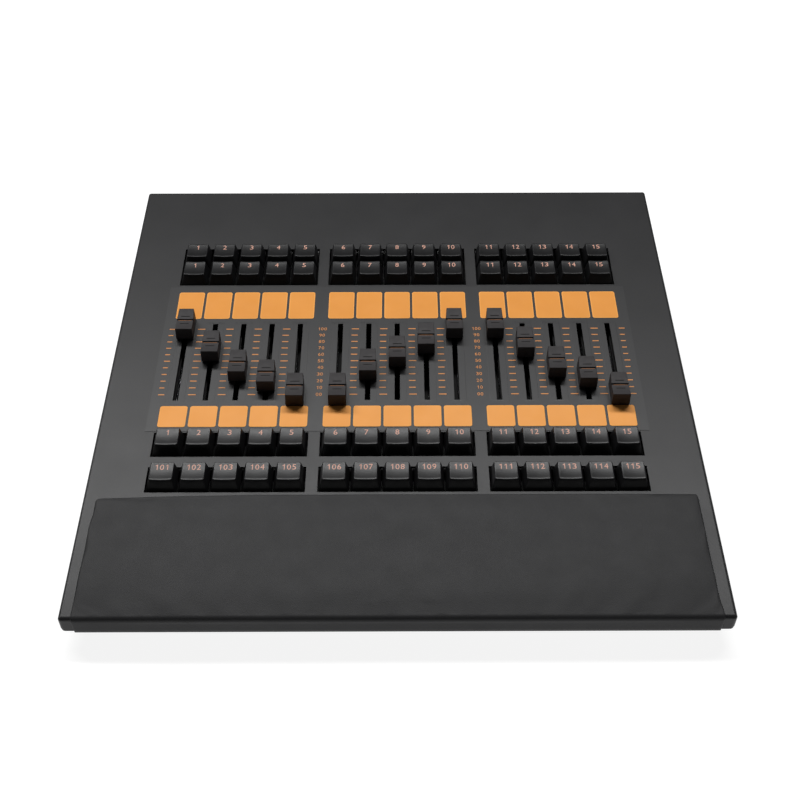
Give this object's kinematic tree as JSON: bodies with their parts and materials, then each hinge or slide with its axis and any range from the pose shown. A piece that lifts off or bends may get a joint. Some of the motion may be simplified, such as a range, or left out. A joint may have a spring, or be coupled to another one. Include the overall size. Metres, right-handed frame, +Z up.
{
  "type": "lighting control desk",
  "caption": "Sloping steel lighting control desk with slide faders, numbered keys in banks, orange writing fields and a soft palm rest.",
  "frame": {"origin": "middle of the desk's footprint, on the surface that the feet stand on", "axes": "+Z up, +X to the operator's right, +Y to the back; the operator sits on the -Y side"},
  "size_m": [0.3736, 0.3764, 0.0613],
  "materials": {
    "panel_paint": "fine matt textured powder coat, charcoal",
    "tray_paint": "matt powder coat, near black",
    "inner_paint": "matt black paint on the steel inside the case",
    "rest_cover": "soft matt foam-backed artificial leather, charcoal",
    "film_grey": "matt printed polyester film, charcoal",
    "label_orange": "matt printed orange, to be written on",
    "zinc_steel": "zinc-plated steel",
    "spring_steel": "polished spring steel",
    "switch_plastic": "moulded nylon",
    "key_black": "satin moulded black plastic with pale copper legends",
    "knob_black": "matt soft-touch black plastic",
    "board_green": "green solder mask",
    "board_tan": "tan laminate",
    "socket_black": "moulded black plastic",
    "socket_metal": "nickel-plated shell",
    "cable_grey": "grey flat cable",
    "brass": "turned brass",
    "screw_black": "blackened steel",
    "foot_rubber": "black rubber"
  },
  "bodies": {
    "case": {"top_panel": "panel_paint", "base_tray": "tray_paint", "rear_panel": "tray_paint", "palm_rest": "rest_cover", "control_film": "film_grey", "label_fields": "label_orange", "mounting_plate": "inner_paint", "key_switches": "switch_plastic", "key_springs": "spring_steel", "front_key_board": "board_green", "rear_key_board": "board_green", "fader_bodies": "inner_paint", "fader_rails": "spring_steel", "fader_board": "board_green", "main_board": "board_green", "power_supply": "board_tan", "power_inlet": "socket_black", "usb_socket": "socket_metal", "internal_wiring": "cable_grey", "support_posts": "zinc_steel", "spacers": "brass", "case_screws": "screw_black", "feet": "foot_rubber"},
    "power_rocker": {"power_rocker": "socket_black"},
    "fader_1": {"fader_1": "knob_black"},
    "fader_2": {"fader_2": "knob_black"},
    "fader_3": {"fader_3": "knob_black"},
    "fader_4": {"fader_4": "knob_black"},
    "fader_5": {"fader_5": "knob_black"},
    "fader_6": {"fader_6": "knob_black"},
    "fader_7": {"fader_7": "knob_black"},
    "fader_8": {"fader_8": "knob_black"},
    "fader_9": {"fader_9": "knob_black"},
    "fader_10": {"fader_10": "knob_black"},
    "fader_11": {"fader_11": "knob_black"},
    "fader_12": {"fader_12": "knob_black"},
    "fader_13": {"fader_13": "knob_black"},
    "fader_14": {"fader_14": "knob_black"},
    "fader_15": {"fader_15": "knob_black"},
    "key_1": {"key_1": "key_black"},
    "key_2": {"key_2": "key_black"},
    "key_3": {"key_3": "key_black"},
    "key_4": {"key_4": "key_black"},
    "key_5": {"key_5": "key_black"},
    "key_6": {"key_6": "key_black"},
    "key_7": {"key_7": "key_black"},
    "key_8": {"key_8": "key_black"},
    "key_9": {"key_9": "key_black"},
    "key_10": {"key_10": "key_black"},
    "key_11": {"key_11": "key_black"},
    "key_12": {"key_12": "key_black"},
    "key_13": {"key_13": "key_black"},
    "key_14": {"key_14": "key_black"},
    "key_15": {"key_15": "key_black"},
    "front_keys_1": {"front_keys_1": "key_black"},
    "front_keys_2": {"front_keys_2": "key_black"},
    "front_keys_3": {"front_keys_3": "key_black"},
    "upper_keys_1": {"upper_keys_1": "key_black"},
    "upper_keys_2": {"upper_keys_2": "key_black"},
    "upper_keys_3": {"upper_keys_3": "key_black"}
  },
  "joints": [
    {"name": "fader_1_slide", "type": "slide", "parent": "case", "child": "fader_1", "axis": [0, 0.9945, 0.1045], "range_m": [-0.06, 0]},
    {"name": "fader_2_slide", "type": "slide", "parent": "case", "child": "fader_2", "axis": [0, 0.9945, 0.1045], "range_m": [-0.039, 0.021]},
    {"name": "fader_3_slide", "type": "slide", "parent": "case", "child": "fader_3", "axis": [0, 0.9945, 0.1045], "range_m": [-0.021, 0.039]},
    {"name": "fader_4_slide", "type": "slide", "parent": "case", "child": "fader_4", "axis": [0, 0.9945, 0.1045], "range_m": [-0.012, 0.048]},
    {"name": "fader_5_slide", "type": "slide", "parent": "case", "child": "fader_5", "axis": [0, 0.9945, 0.1045], "range_m": [0, 0.06]},
    {"name": "fader_6_slide", "type": "slide", "parent": "case", "child": "fader_6", "axis": [0, 0.9945, 0.1045], "range_m": [0, 0.06]},
    {"name": "fader_7_slide", "type": "slide", "parent": "case", "child": "fader_7", "axis": [0, 0.9945, 0.1045], "range_m": [-0.0216, 0.0384]},
    {"name": "fader_8_slide", "type": "slide", "parent": "case", "child": "fader_8", "axis": [0, 0.9945, 0.1045], "range_m": [-0.0336, 0.0264]},
    {"name": "fader_9_slide", "type": "slide", "parent": "case", "child": "fader_9", "axis": [0, 0.9945, 0.1045], "range_m": [-0.0456, 0.0144]},
    {"name": "fader_10_slide", "type": "slide", "parent": "case", "child": "fader_10", "axis": [0, 0.9945, 0.1045], "range_m": [-0.06, 0]},
    {"name": "fader_11_slide", "type": "slide", "parent": "case", "child": "fader_11", "axis": [0, 0.9945, 0.1045], "range_m": [-0.06, 0]},
    {"name": "fader_12_slide", "type": "slide", "parent": "case", "child": "fader_12", "axis": [0, 0.9945, 0.1045], "range_m": [-0.042, 0.018]},
    {"name": "fader_13_slide", "type": "slide", "parent": "case", "child": "fader_13", "axis": [0, 0.9945, 0.1045], "range_m": [-0.0234, 0.0366]},
    {"name": "fader_14_slide", "type": "slide", "parent": "case", "child": "fader_14", "axis": [0, 0.9945, 0.1045], "range_m": [-0.0144, 0.0456]},
    {"name": "fader_15_slide", "type": "slide", "parent": "case", "child": "fader_15", "axis": [0, 0.9945, 0.1045], "range_m": [0, 0.06]},
    {"name": "key_1_press", "type": "slide", "parent": "case", "child": "key_1", "axis": [0, 0.1045, -0.9945], "range_m": [0, 0.0038], "stiffness_N_per_m": 100, "springref_m": -0.004},
    {"name": "key_2_press", "type": "slide", "parent": "case", "child": "key_2", "axis": [0, 0.1045, -0.9945], "range_m": [0, 0.0038], "stiffness_N_per_m": 100, "springref_m": -0.004},
    {"name": "key_3_press", "type": "slide", "parent": "case", "child": "key_3", "axis": [0, 0.1045, -0.9945], "range_m": [0, 0.0038], "stiffness_N_per_m": 100, "springref_m": -0.004},
    {"name": "key_4_press", "type": "slide", "parent": "case", "child": "key_4", "axis": [0, 0.1045, -0.9945], "range_m": [0, 0.0038], "stiffness_N_per_m": 100, "springref_m": -0.004},
    {"name": "key_5_press", "type": "slide", "parent": "case", "child": "key_5", "axis": [0, 0.1045, -0.9945], "range_m": [0, 0.0038], "stiffness_N_per_m": 100, "springref_m": -0.004},
    {"name": "key_6_press", "type": "slide", "parent": "case", "child": "key_6", "axis": [0, 0.1045, -0.9945], "range_m": [0, 0.0038], "stiffness_N_per_m": 100, "springref_m": -0.004},
    {"name": "key_7_press", "type": "slide", "parent": "case", "child": "key_7", "axis": [0, 0.1045, -0.9945], "range_m": [0, 0.0038], "stiffness_N_per_m": 100, "springref_m": -0.004},
    {"name": "key_8_press", "type": "slide", "parent": "case", "child": "key_8", "axis": [0, 0.1045, -0.9945], "range_m": [0, 0.0038], "stiffness_N_per_m": 100, "springref_m": -0.004},
    {"name": "key_9_press", "type": "slide", "parent": "case", "child": "key_9", "axis": [0, 0.1045, -0.9945], "range_m": [0, 0.0038], "stiffness_N_per_m": 100, "springref_m": -0.004},
    {"name": "key_10_press", "type": "slide", "parent": "case", "child": "key_10", "axis": [0, 0.1045, -0.9945], "range_m": [0, 0.0038], "stiffness_N_per_m": 100, "springref_m": -0.004},
    {"name": "key_11_press", "type": "slide", "parent": "case", "child": "key_11", "axis": [0, 0.1045, -0.9945], "range_m": [0, 0.0038], "stiffness_N_per_m": 100, "springref_m": -0.004},
    {"name": "key_12_press", "type": "slide", "parent": "case", "child": "key_12", "axis": [0, 0.1045, -0.9945], "range_m": [0, 0.0038], "stiffness_N_per_m": 100, "springref_m": -0.004},
    {"name": "key_13_press", "type": "slide", "parent": "case", "child": "key_13", "axis": [0, 0.1045, -0.9945], "range_m": [0, 0.0038], "stiffness_N_per_m": 100, "springref_m": -0.004},
    {"name": "key_14_press", "type": "slide", "parent": "case", "child": "key_14", "axis": [0, 0.1045, -0.9945], "range_m": [0, 0.0038], "stiffness_N_per_m": 100, "springref_m": -0.004},
    {"name": "key_15_press", "type": "slide", "parent": "case", "child": "key_15", "axis": [0, 0.1045, -0.9945], "range_m": [0, 0.0038], "stiffness_N_per_m": 100, "springref_m": -0.004},
    {"name": "front_keys_1_press", "type": "slide", "parent": "case", "child": "front_keys_1", "axis": [0, 0.1045, -0.9945], "range_m": [0, 0.0038], "stiffness_N_per_m": 500, "springref_m": -0.004},
    {"name": "front_keys_2_press", "type": "slide", "parent": "case", "child": "front_keys_2", "axis": [0, 0.1045, -0.9945], "range_m": [0, 0.0038], "stiffness_N_per_m": 500, "springref_m": -0.004},
    {"name": "front_keys_3_press", "type": "slide", "parent": "case", "child": "front_keys_3", "axis": [0, 0.1045, -0.9945], "range_m": [0, 0.0038], "stiffness_N_per_m": 500, "springref_m": -0.004},
    {"name": "upper_keys_1_press", "type": "slide", "parent": "case", "child": "upper_keys_1", "axis": [0, 0.1045, -0.9945], "range_m": [0, 0.0038], "stiffness_N_per_m": 1000, "springref_m": -0.004},
    {"name": "upper_keys_2_press", "type": "slide", "parent": "case", "child": "upper_keys_2", "axis": [0, 0.1045, -0.9945], "range_m": [0, 0.0038], "stiffness_N_per_m": 1000, "springref_m": -0.004},
    {"name": "upper_keys_3_press", "type": "slide", "parent": "case", "child": "upper_keys_3", "axis": [0, 0.1045, -0.9945], "range_m": [0, 0.0038], "stiffness_N_per_m": 1000, "springref_m": -0.004},
    {"name": "power_rocker_tilt", "type": "hinge", "parent": "case", "child": "power_rocker", "pos_m": [0.086, 0.17749, 0.028], "axis": [1, 0, 0], "range_deg": [0, 16]}
  ]
}
